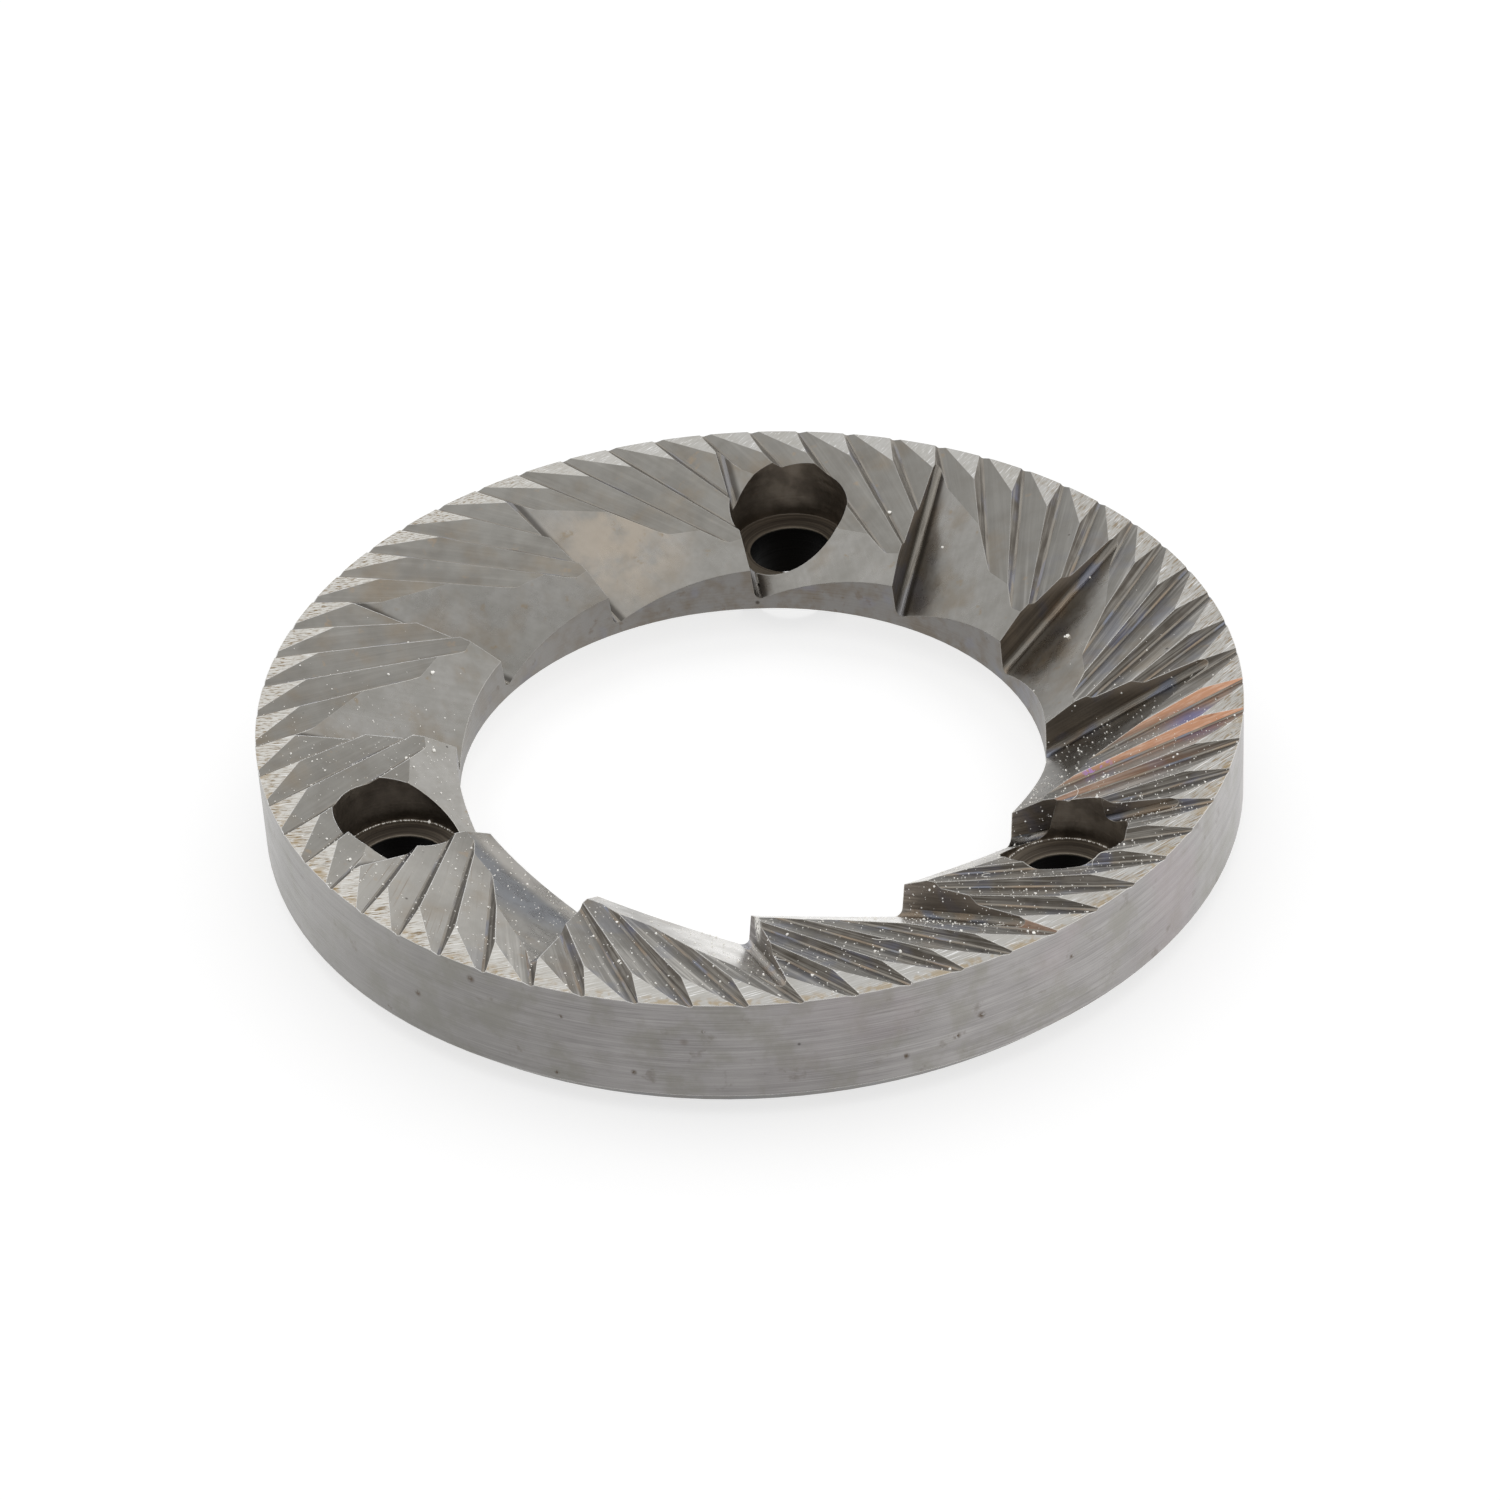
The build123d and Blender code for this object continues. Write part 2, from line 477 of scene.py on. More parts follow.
# The flanks of the grooves are drawn into dark and light lines by the cutter, the light lines partly a
# painted highlight, with tempering blue between them and a copper heat tint on four of them, two strong
# and two faint, streaked with painted highlight
def flank_steel(tree, look, edge):
    space = solid_place(tree)
    lines = streaks(tree, 8.0, 0.17, 0.46, 0.66)
    broad = streaks(tree, 16.0, 0.3, 0.4, 0.6, 4.0)
    ragged = patches(tree, surface_place(tree, 1.6, 0.4), 1.0, 0.24, 0.4, 3.0, 9.0)
    # Copper heat tint, streaked with painted highlight and darker lines
    warm = layer(tree, look.copper, "FFD9BF", streaks(tree, 1.4, 0.14, 0.45, 0.65, 6.0), 0.7)
    warm = layer(tree, warm, "9A6047", streaks(tree, 3.0, 0.26, 0.56, 0.66, 2.0), 0.5)
    glints = patches(tree, space, 0.3, 0.48, 0.56, 2.0, 3.0)
    worn = patches(tree, space, 1.2, 0.3, 0.75)
    tint = coats(
        tree,
        look.flank,
        ("5D574F", patches(tree, space, 2.2, 0.35, 0.7)),
        ("A39E96", near(tree, *PALE_FLANKS), 0.9),
        (look.violet, patches(tree, space, 3.0, 0.52, 0.7, 2.0, 5.0), 0.6),
        ("4A443D", broad, 0.6),
        # Light lines: the cutter's marks, partly a painted highlight
        ("B5B1A9", lines, 0.5),
        (warm, marks(tree)["X"], ragged),
        ("C9A0D8", near(tree, *VIOLET_GLINTS), glints),
        # Painted highlight on the edges
        ("DAD7D0", edge, 0.8),
    )
    return tint, band(tree, worn, 0, 1, 0.28, 0.42), lines


# The breaker walls keep the black-brown scale of hardening
def wall_steel(tree, look, edge):
    space = solid_place(tree)
    lines = streaks(tree, 6.0, 0.2, 0.3, 0.7)
    chipped = patches(tree, space, 0.2, 0.4, 0.5, 2.0, 7.0)
    tint = coats(
        tree,
        look.wall,
        ("92877A", patches(tree, space, 1.8, 0.4, 0.7)),
        ("554C43", lines, 0.5),
        ("B0A498", band(tree, axes(tree)["Z"], 6.4, 7.6), 0.85),
        (look.violet, patches(tree, space, 2.4, 0.52, 0.66, 2.0, 5.0), 0.3),
        ("564E46", band(tree, axes(tree)["Y"], -15.0, -20.0), 0.6),
        ("F0EEE8", near(tree, *CHIPPED_WALL), chipped),
        # Painted highlight on the edges
        ("E6E3DC", edge, 0.9),
    )
    return tint, band(tree, lines, 0, 1, 0.4, 0.55), lines


# The rounded roots are burnished by the cutter's nose and carry straw and blue temper colours
def root_steel(tree, look, edge):
    along = surface_place(tree, 3.5, 1.0)
    lines = streaks(tree, 9.0, 0.06, 0.3, 0.7)
    worked = band(tree, worked_side(tree), 0, 0.5)
    straw = patches(tree, along, 1.0, 0.45, 0.6, 1.0, 1.0)
    blue = patches(tree, along, 1.0, 0.52, 0.62, 1.0, 6.0)
    tint = coats(
        tree,
        look.root,
        ("A08B74", straw, worked, 0.6),
        ("7F879A", blue, band(tree, worked, 0, 1, 0.3, 0.7)),
        ("57504A", streaks(tree, 3.0, 0.2, 0.45, 0.65, 5.0), 0.55),
        # Painted highlight on the edges
        ("E2DFD9", edge, 0.4),
    )
    return tint, band(tree, lines, 0, 1, 0.24, 0.34), lines


# The larger pits and scars of the rim: bearing in degrees, height and radius in millimetres. The
# dark of each has faded out at this share of its radius
SCAR_EDGE = 0.8
SCARS = (
    (223, 2.0, 0.35),
    (228, 4.5, 0.45),
    (236, 7.5, 0.5),
    (246, 2.0, 0.3),
    (247, 6.5, 0.3),
    (255, 3.0, 0.35),
    (263, 6.5, 0.25),
    (285, 3.0, 0.4),
    (291, 3.5, 0.45),
    (294, 4.5, 0.5),
    (306, 6.0, 0.35),
)


def scar_mark(tree, bearing, height, radius):
    """1 in the middle of a scar of the rim, 0 at its edge."""
    x, y = RIM * cos(radians(bearing)), RIM * sin(radians(bearing))
    return near(tree, (x, y, height), 0.0, SCAR_EDGE * radius)


# A turned and brushed rim shows fine rings round it, with blotches where hands and oil have been
def turned_steel(tree, look, edge):
    space = solid_place(tree)
    rings = streaks(tree, 5.0, 0.11, 0.3, 0.7)
    broad = streaks(tree, 16.0, 0.45, 0.35, 0.7, 3.0)
    pink = patches(tree, space, 7.0, 0.5, 0.68, 2.0, 4.0)
    ragged = patches(tree, space, 0.25, 0.35, 0.5, 2.0, 6.0)
    scars = [scar_mark(tree, *scar) for scar in SCARS]
    tint = coats(
        tree,
        look.turned,
        ("848180", patches(tree, space, 5.0, 0.35, 0.7)),
        ("BCB9B7", rings, 0.6),
        ("767372", broad, 0.35),
        ("87857B", patches(tree, space, 2.4, 0.45, 0.65, 4.0, 8.0), 0.5),
        ("A3969A", pink, band(tree, axes(tree)["X"], -4.0, 12.0), 0.3),
        ("74746F", band(tree, axes(tree)["X"], -8.0, -22.0), 0.4),
        ("6F685F", patches(tree, space, 1.3, 0.6, 0.72, 4.0, 3.0), 0.45),
        ("5C4935", spots(tree, space, 2.6, 0.16, 0.2, 2.0), 0.7),
        (look.soot_and_shadow, spots(tree, space, 1.6, 0.16, 0.11), 0.8),
        *(("5E5348", scar, ragged) for scar in scars),
        # Painted highlight on the edges
        ("F0EEEA", edge, 0.9),
    )
    return tint, band(tree, rings, 0, 1, 0.3, 0.46), rings


# The bore and the back were turned but never brushed, and stain brown and blue in patches
def bored_steel(tree, look, edge):
    space = solid_place(tree)
    rings = streaks(tree, 6.0, 0.12, 0.25, 0.75)
    tint = coats(
        tree,
        look.bored,
        ("665F57", patches(tree, space, 1.6, 0.4, 0.65)),
        ("A19E99", band(tree, axes(tree)["X"], -4.0, -16.0), 0.3),
        ("6F7280", patches(tree, space, 2.2, 0.55, 0.7, 2.0, 5.0), 0.4),
        ("5A4B3B", patches(tree, space, 0.9, 0.6, 0.7, 3.0, 2.0), 0.5),
        ("93908B", rings, 0.3),
        (look.soot_and_shadow, spots(tree, space, 1.0, 0.16, 0.22), 0.75),
        # Painted highlight on the edges
        ("DAD7D0", edge, 0.7),
    )
    return tint, band(tree, rings, 0, 1, 0.36, 0.48), rings


# Recesses that no stone or belt reached stay brown with tempering colour and packed coffee,
# and their through holes are painted black as painted shade
def drilled_steel(tree, look, edge):
    space = solid_place(tree)
    rings = streaks(tree, 6.0, 0.15, 0.25, 0.75)
    left = near(tree, *DARK_RECESS)
    seat = band(tree, axes(tree)["Z"], 4.0, 3.94)
    turns = streaks(tree, 20.0, 0.3, 0.4, 0.6, 3.0)
    tint = coats(
        tree,
        look.drilled,
        ("7B7166", patches(tree, space, 1.6, 0.35, 0.65)),
        ("A08360", streaks(tree, 1.6, 0.12, 0.62, 0.7, 6.0), 0.6),
        ("4A433C", left, 0.45),
        ("544D45", seat),
        ("8F8577", seat, turns, 0.7),
        # Painted highlight on the edges
        ("D0C6B8", edge, 0.6),
        # Painted shade: the through holes black below the seat
        ("080706", band(tree, axes(tree)["Z"], 3.64, 3.5)),
    )
    return tint, band(tree, rings, 0, 1, 0.42, 0.56), rings


# Grit is crushed white husk and steel dust: matt and pale. Its grains are too fine to show in
# the render by the studio's light alone, so they give off a little of their own
def grit_dust(look):
    material = bpy.data.materials.new("Pale grit")
    material.use_nodes = True
    shader = material.node_tree.nodes["Principled BSDF"]
    shader.inputs["Base Color"].default_value = shade(look.tint)
    shader.inputs["Roughness"].default_value = 0.5
    shader.inputs["Emission Color"].default_value = shade(look.tint)
    shader.inputs["Emission Strength"].default_value = 0.35
    return material


def cut_frames(cut, thickness):
    """Where each cut of one ring starts, and its directions along, across and out of the root."""
    bearing = cut.phase + 2 * pi / cut.count * np.arange(cut.count)
    heading = bearing + cut.skew
    flat = np.zeros(cut.count)
    height = flat + thickness - cut.depth
    start = np.stack([cut.radius * np.cos(bearing), cut.radius * np.sin(bearing), height], 1)
    level = cos(cut.slope)
    along = np.stack([np.cos(heading) * level, np.sin(heading) * level, flat + sin(cut.slope)], 1)
    across = np.stack([-np.sin(heading), np.cos(heading), flat], 1)
    return start, along, across, np.cross(along, across)


def wrapped(angles, middles):
    """Angles brought within half a turn of their faces' middles."""
    return middles + (angles - middles + pi) % (2 * pi) - pi


REGIONS = ("land", "floor", "flank", "root", "rim", "bore", "recess", "back")
# How far the middle of a face may lie off a flat cut, off a level and off a round wall
OFF_CUT = 0.06 * MM
OFF_LEVEL = 0.01 * MM
OFF_ROUND = 0.1 * MM
# Cosine between normals that face the same way
SAME_WAY = 0.9995
# Upward part of the normal: more than this on a land, less on an upright wall, less on the back
STRAIGHT_UP = 0.9999
UPRIGHT = 0.1
DOWNWARD = -0.3


def face_facts(mesh):
    """The middles and the normals of a mesh's faces."""
    facts = []
    for name in ("center", "normal"):
        values = np.empty(len(mesh.polygons) * 3)
        mesh.polygons.foreach_get(name, values)
        facts.append(values.reshape(-1, 3))
    return facts


def sort_faces(mesh, ring, cuts):
    """The region and the cut of each face, by the surface of the solid that it lies on."""
    count = len(mesh.polygons)
    middle, normal = face_facts(mesh)
    radius, height = np.hypot(middle[:, 0], middle[:, 1]), middle[:, 2]
    region = np.full(count, -1)
    owner = np.zeros(count, int)
    best = np.full(count, OFF_CUT)
    first = 0
    for cut in cuts:
        start, _, across, out = cut_frames(cut, ring.thickness)
        planes = (
            ("floor", sin(cut.floor) * across + cos(cut.floor) * out),
            ("flank", -cos(cut.flank) * across + sin(cut.flank) * out),
        )
        for name, facing in planes:
            off = np.abs(middle @ facing.T - (start * facing).sum(1))
            miss = np.where(normal @ facing.T > SAME_WAY, off, 1.0)
            nearest = miss.argmin(1)
            near = miss[np.arange(count), nearest]
            won = near < best
            best[won], owner[won], region[won] = near[won], first + nearest[won], REGIONS.index(name)
        first += cut.count
    loose = region < 0
    to_hole = np.linalg.norm(middle[:, None, :2] - hole_centres(ring), axis=2).min(1)
    upright = np.abs(normal[:, 2]) < UPRIGHT
    tests = (
        ("land", (normal[:, 2] > STRAIGHT_UP) & (height > ring.thickness - OFF_LEVEL)),
        ("recess", (to_hole < ring.counterbore + 2 * OFF_LEVEL) & (height > OFF_LEVEL)),
        ("rim", (radius > ring.outer - OFF_ROUND) & upright),
        ("bore", (radius < ring.bore + OFF_ROUND) & upright),
        ("back", (normal[:, 2] < DOWNWARD) & (height < ring.relief)),
    )
    for name, fits in tests:
        chosen = loose & fits
        region[chosen] = REGIONS.index(name)
        loose &= ~chosen
    first, closest = 0, np.full(count, 1.0)
    for cut in cuts:
        start, _, across, out = cut_frames(cut, ring.thickness)
        offset = middle[:, None, :] - start
        away = np.hypot((offset * across).sum(2), (offset * out).sum(2))
        nearest = away.argmin(1)
        near = away[np.arange(count), nearest]
        won = loose & (near < closest)
        closest[won], owner[won], region[won] = near[won], first + nearest[won], REGIONS.index("root")
        first += cut.count
    return region, owner


class Corners:
    """The face corners of a mesh: their points, faces, and the middles and normals of those."""

    def __init__(self, mesh):
        index = np.empty(len(mesh.loops), int)
        mesh.loops.foreach_get("vertex_index", index)
        points = np.empty(len(mesh.vertices) * 3)
        mesh.vertices.foreach_get("co", points)
        self.points = points.reshape(-1, 3)[index]
        sides = np.empty(len(mesh.polygons), int)
        mesh.polygons.foreach_get("loop_total", sides)
        self.face = np.repeat(np.arange(len(sides)), sides)
        self.middle, self.normal = (values[self.face] for values in face_facts(mesh))


def hole_centres(ring):
    """The middles of the screw holes, seen from above."""
    bearing = ring.screw_phase + 2 * pi / ring.screw_count * np.arange(ring.screw_count)
    return ring.screw_circle * np.stack([np.cos(bearing), np.sin(bearing)], 1)


def nearest_hole(ring, points):
    """The middle of the screw hole nearest to each point."""
    holes = hole_centres(ring)
    return holes[np.linalg.norm(points[:, None, :2] - holes, axis=2).argmin(1)]


def all_frames(cuts, thickness):
    """The frames of all the cuts, ring after ring, with their angles and root radii."""
    start, along, across, out = (
        np.concatenate(parts) for parts in zip(*(cut_frames(cut, thickness) for cut in cuts))
    )
    floor, flank, root = (
        np.concatenate([np.full(cut.count, getattr(cut, name)) for cut in cuts])
        for name in ("floor", "flank", "root")
    )
    return start, along, across, out, floor, flank, root


def of_region(kinds, *names):
    """Which of some faces or corners lie in the named regions."""
    return np.isin(kinds, [REGIONS.index(name) for name in names])


# Each cut's marks start this much further along the pattern, so that no two cuts look alike
CUT_APART = 40 * MM
# Lands were ground in arcs round a point beyond the rim: its place, and the arcs' radius
GRIND_CENTRE = (-31.0 * MM, 56.0 * MM)
GRIND_RADIUS = 70 * MM


def tool_paths(corners, ring, cuts, region, owner):
    """For each face corner, millimetres along the tool's path and across it."""
    points, middle, face = corners.points, corners.middle, corners.face
    turn = wrapped(np.arctan2(points[:, 1], points[:, 0]), np.arctan2(middle[:, 1], middle[:, 0]))
    reach = np.hypot(points[:, 0], points[:, 1])
    start, along, across, out, floor, flank, _ = all_frames(cuts, ring.thickness)
    cut = owner[face]
    offset = points - start[cut]
    side, up = (offset * across[cut]).sum(1), (offset * out[cut]).sum(1)
    run = (offset * along[cut]).sum(1) + cut * CUT_APART
    on_floor = np.stack([run, up * np.sin(floor[cut]) - side * np.cos(floor[cut])], 1)
    on_flank = np.stack([run, up * np.cos(flank[cut]) + side * np.sin(flank[cut])], 1)
    arc = points[:, :2] - np.array(GRIND_CENTRE)
    swept = np.arctan2(arc[:, 1], arc[:, 0]) * GRIND_RADIUS
    ground = np.stack([swept, np.hypot(arc[:, 0], arc[:, 1])], 1)
    hole = nearest_hole(ring, middle)
    local, centre = points[:, :2] - hole, middle[:, :2] - hole
    swing = wrapped(np.arctan2(local[:, 1], local[:, 0]), np.arctan2(centre[:, 1], centre[:, 0]))
    bored = np.stack([swing * ring.counterbore, points[:, 2] + np.hypot(local[:, 0], local[:, 1])], 1)
    path = np.stack([turn * reach, points[:, 2]], 1)
    for name, values in (
        ("floor", on_floor),
        ("flank", on_flank),
        ("root", np.stack([run, side], 1)),
        ("land", ground),
        ("recess", bored),
        ("back", np.stack([turn * reach, reach], 1)),
    ):
        chosen = of_region(region[face], name)
        path[chosen] = values[chosen]
    return path / MM


def true_normals(corners, ring, cuts, region, owner):
    """For each face corner, the normal of the surface that its facet stands for."""
    points, middle, face = corners.points, corners.middle, corners.face
    normals = corners.normal.copy()
    kind = region[face]
    # Round walls and cones turn their facets' lean round their own axis
    centre = np.where(of_region(kind, "recess")[:, None], nearest_hole(ring, middle), 0.0)
    spoke, facet = points[:, :2] - centre, middle[:, :2] - centre
    spoke /= np.linalg.norm(spoke, axis=1)[:, None]
    facet /= np.linalg.norm(facet, axis=1)[:, None]
    lean = (corners.normal[:, :2] * facet).sum(1)[:, None]
    turned = np.concatenate([spoke * lean, corners.normal[:, 2:]], 1)
    round_walls = of_region(kind, "rim", "bore", "recess", "back")
    normals[round_walls] = turned[round_walls]
    # Roots face the axis of their rounding
    start, _, across, out, floor, flank, root = all_frames(cuts, ring.thickness)
    facing = np.stack(
        [np.stack([np.sin(floor), np.cos(floor)], 1), np.stack([-np.cos(flank), np.sin(flank)], 1)], 1
    )
    axis = np.linalg.solve(facing, np.stack([root, root], 1)[:, :, None])[:, :, 0]
    cut = owner[face]
    offset = points - start[cut]
    side = axis[cut, 0] - (offset * across[cut]).sum(1)
    rise = axis[cut, 1] - (offset * out[cut]).sum(1)
    inward = side[:, None] * across[cut] + rise[:, None] * out[cut]
    roots = of_region(kind, "root")
    normals[roots] = inward[roots]
    return normals / np.linalg.norm(normals, axis=1)[:, None]


# Where grit gathers: bearing and spread in degrees, and share; a trace of it lies everywhere
DUST_HEAPS = ((322, 24, 1.0), (218, 26, 0.4), (268, 24, 0.35), (184, 16, 0.34))
DUST_TRACE = 0.02


def dust_share(points):
    """How much grit lies at each point, 1 where it is thickest: most on the near side."""
    bearing = np.degrees(np.arctan2(points[:, 1], points[:, 0])) % 360
    share = np.full(len(points), DUST_TRACE)
    for middle, spread, height in DUST_HEAPS:
        away = (bearing - middle + 180) % 360 - 180
        share = share + height * np.exp(-0.5 * (away / spread) ** 2)
    return np.clip(share, 0, 1)


# Copper heat tint by groove: its strength, and the radii in millimetres where it starts and is full
HEAT_TINT = {59: (1.0, 23.6, 26.0), 58: (1.0, 21.0, 22.6), 57: (0.5, 25.5, 23.0), 50: (0.25, 22, 24)}
# Points of the solid closer than this are one
WELD = 0.0001 * MM
# What paints each finish, and the name of its material
FINISHES = {
    ground_steel: "Tool steel, surface ground",
    groove_steel: "Tool steel, fine milled",
    flank_steel: "Tool steel, hardened flank",
    wall_steel: "Tool steel, hardening scale",
    root_steel: "Tool steel, burnished root",
    turned_steel: "Tool steel, turned and brushed",
    bored_steel: "Tool steel, bored",
    drilled_steel: "Tool steel, drilled and tempered",
    floor_steel: "Tool steel, milled and tempered",
}
FINISH_OF = {
    "land": ground_steel,
    "floor": groove_steel,
    "flank": flank_steel,
    "root": root_steel,
    "rim": turned_steel,
    "bore": bored_steel,
    "recess": drilled_steel,
    "back": bored_steel,
}


class BURR_OT_body(Operator):
    """Dress the ring in steel, a finish for each way its surfaces were made"""

    bl_idname = "burr.body"
    bl_label = "Burr body"

    def execute(self, context):
        scene = context.scene
        ring, look = scene.burr_ring, scene.steel_look
        cuts = (scene.breaker_cuts, scene.grinding_grooves)
        mesh = bpy.data.meshes.new("burr_body")
        work = bmesh.new()
        work.from_mesh(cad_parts["burr"].data)
        bmesh.ops.remove_doubles(work, verts=work.verts, dist=WELD)
        work.to_mesh(mesh)
        work.free()
        region, owner = sort_faces(mesh, ring, cuts)
        if (region < 0).any():
            raise RuntimeError("Some faces of the solid lie on no known surface")
        corners = Corners(mesh)
        mesh.uv_layers.new(name="tool_path")
        path = tool_paths(corners, ring, cuts, region, owner)
        mesh.uv_layers["tool_path"].uv.foreach_set("vector", path.astype(np.float32).ravel())
        first = scene.breaker_cuts.count
        deep = owner < first
        reach = np.hypot(corners.points[:, 0], corners.points[:, 1]) / MM
        heat = np.zeros(len(reach))
        for groove, (strength, start, full) in HEAT_TINT.items():
            share = strength * np.clip((reach - start) / (full - start), 0, 1)
            own = (owner == first + groove) & of_region(region, "flank", "root")
            heat += share * own[corners.face]
        mesh.uv_layers.new(name="marks")
        marked = np.stack([heat, dust_share(corners.points)], 1)
        mesh.uv_layers["marks"].uv.foreach_set("vector", marked.astype(np.float32).ravel())
        for paint_on, name in FINISHES.items():
            mesh.materials.append(steel(name, paint_on, look))
        order = list(FINISHES)
        chosen = np.array([order.index(FINISH_OF[name]) for name in REGIONS])[region]
        chosen[deep & of_region(region, "flank")] = order.index(wall_steel)
        chosen[deep & of_region(region, "floor")] = order.index(floor_steel)
        mesh.polygons.foreach_set("material_index", chosen)
        mesh.shade_smooth()
        mesh.normals_split_custom_set(true_normals(corners, ring, cuts, region, owner).tolist())
        piece = bpy.data.objects.new("burr_body", mesh)
        scene.collection.objects.link(piece)
        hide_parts("burr")
        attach(piece, "root")
        return {"FINISHED"}


def lump_shape():
    """The points and triangles of a ball of 20 faces."""
    work = bmesh.new()
    bmesh.ops.create_icosphere(work, subdivisions=1, radius=1)
    points = np.array([vert.co for vert in work.verts])
    faces = np.array([[vert.index for vert in face.verts] for face in work.faces])
    work.free()
    return points, faces


def teeth_surface(ring, cuts):
    """The solid's points, the triangles of its teeth, each led by its face, and the faces' normals."""
    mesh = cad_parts["burr"].data
    region, _ = sort_faces(mesh, ring, cuts)
    points = np.array([vert.co for vert in mesh.vertices])
    corners = [list(face.vertices) for face in mesh.polygons]
    normals = np.array([face.normal for face in mesh.polygons])
    teeth = np.flatnonzero(of_region(region, "floor", "flank", "root"))
    triangles = [
        (face, corners[face][0], b, c)
        for face in teeth
        for b, c in zip(corners[face][1:], corners[face][2:])
    ]
    return points, np.array(triangles), normals


def resting_heights(places):
    """The heights at which things dropped on the burr come to lie."""
    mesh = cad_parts["burr"].data
    points = [vert.co for vert in mesh.vertices]
    solid = BVHTree.FromPolygons(points, [face.vertices for face in mesh.polygons])
    return [solid.ray_cast(Vector((x, y, 1.0)), Vector((0, 0, -1)))[0].z for x, y in places]


# The larger crumbs on the teeth, seen from above: place and radius in millimetres
CRUMBS = (
    (21.4, 8.2, 0.16),
    (21.2, 8.4, 0.09),
    (10.4, 22.5, 0.15),
    (13.8, 19.6, 0.11),
    (21.6, -11.9, 0.14),
    (-21.0, -5.4, 0.14),
    (-8.8, -26.4, 0.12),
    (-8.7, -26.7, 0.1),
    (18.8, 4.2, 0.07),
    (-25.5, -14.5, 0.12),
)
# Spread of the grains' sizes, share of the big ones and how much bigger they are
GRAIN_SPREAD = 0.4
BIG_SHARE = 0.025
BIG_TIMES = 2.3
# Where grit lies at least this thick no grain is left out
THICK = 0.5
# The line of grit in the corner of a recess: grains in the left and in the right one, bearings
# between which it lies, and the grains' distances from the wall and radii in millimetres
CORNER_GRAINS = (170, 150)
CORNER_ARC = (0.1 * pi, 0.95 * pi)
CORNER_GAPS = (0.02, 0.1)
CORNER_SIZES = (0.015, 0.045)
# Least and greatest reach of a lump's points, as shares of its radius
LUMPY = (0.55, 1.15)
# How far out of its surface the middle of a grain stands, as a share of its radius
PROUD = 0.3
# Room left between the dust and the box of the ring
DUST_CLEARANCE = 0.001 * MM


class BURR_OT_dust(Operator):
    """Scatter pale grit and a few fibres over the teeth"""

    bl_idname = "burr.dust"
    bl_label = "Dust"

    def execute(self, context):
        scene = context.scene
        ring, look = scene.burr_ring, scene.dust_look
        cuts = (scene.breaker_cuts, scene.grinding_grooves)
        luck = np.random.default_rng(look.seed)
        points, triangles, normals = teeth_surface(ring, cuts)
        a, b, c = (points[triangles[:, column]] for column in (1, 2, 3))
        weight = np.linalg.norm(np.cross(b - a, c - a), axis=1) * dust_share((a + b + c) / 3)
        picked = luck.choice(len(triangles), look.count, p=weight / weight.sum())
        u, v = luck.random((2, look.count))
        over = u + v > 1
        u[over], v[over] = 1 - u[over], 1 - v[over]
        places = a[picked] + (b - a)[picked] * u[:, None] + (c - a)[picked] * v[:, None]
        facing = normals[triangles[picked, 0]]
        grains = look.grain * np.exp(luck.normal(0, GRAIN_SPREAD, look.count))
        grains[luck.random(look.count) < BIG_SHARE] *= BIG_TIMES
        kept = dust_share(places) > luck.random(look.count) * THICK
        places, facing, grains = places[kept], facing[kept], grains[kept]
        scattered = len(places)
        for hole, count in zip(hole_centres(ring)[1:], CORNER_GRAINS):
            bearing = luck.uniform(*CORNER_ARC, count)
            radius = ring.counterbore - luck.uniform(*CORNER_GAPS, count) * MM
            level = np.full(count, ring.seat_height)
            x, y = hole[0] + radius * np.cos(bearing), hole[1] + radius * np.sin(bearing)
            line = np.stack([x, y, level], 1)
            places = np.concatenate([places, line])
            facing = np.concatenate([facing, np.tile([0.0, 0.0, 1.0], (count, 1))])
            grains = np.concatenate([grains, luck.uniform(*CORNER_SIZES, count) * MM])
        crumbs = np.array(CRUMBS) * MM
        resting = resting_heights(crumbs[:, :2])
        places = np.concatenate([places, np.column_stack([crumbs[:, :2], resting])])
        facing = np.concatenate([facing, np.tile([0.0, 0.0, 1.0], (len(crumbs), 1))])
        grains = np.concatenate([grains, crumbs[:, 2]])
        shape, sides = lump_shape()
        lumps = shape[None] * luck.uniform(*LUMPY, (len(places), len(shape), 1))
        verts = (places + facing * grains[:, None] * PROUD)[:, None] + lumps * grains[:, None, None]
        faces = sides[None] + len(shape) * np.arange(len(places))[:, None, None]
        verts, faces = verts.reshape(-1, 3), faces.reshape(-1, 3)
        for grain in luck.choice(scattered, look.fibres):
            above = places[grain] + facing[grain] * FIBRE_ABOVE
            more, sides = fibre(luck, above, facing[grain])
            faces = np.concatenate([faces, sides + len(verts)])
            verts = np.concatenate([verts, more])
        # No grain stands out of the ring
        out = (ring.outer - DUST_CLEARANCE) / np.hypot(verts[:, 0], verts[:, 1])
        verts[:, :2] *= np.minimum(out, 1)[:, None]
        verts[:, 2] = np.minimum(verts[:, 2], ring.thickness - DUST_CLEARANCE)
        mesh = bpy.data.meshes.new("burr_dust")
        mesh.from_pydata(verts.tolist(), [], faces.tolist())
        mesh.materials.append(grit_dust(look))
        piece = bpy.data.objects.new("burr_dust", mesh)
        scene.collection.objects.link(piece)
        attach(piece, "root")
        return {"FINISHED"}


# A fibre's radius, how high its ends lie and how much higher its middle arches
FIBRE_RADIUS = 0.013 * MM
FIBRE_ABOVE = 0.03 * MM
FIBRE_ARCH = 0.05 * MM


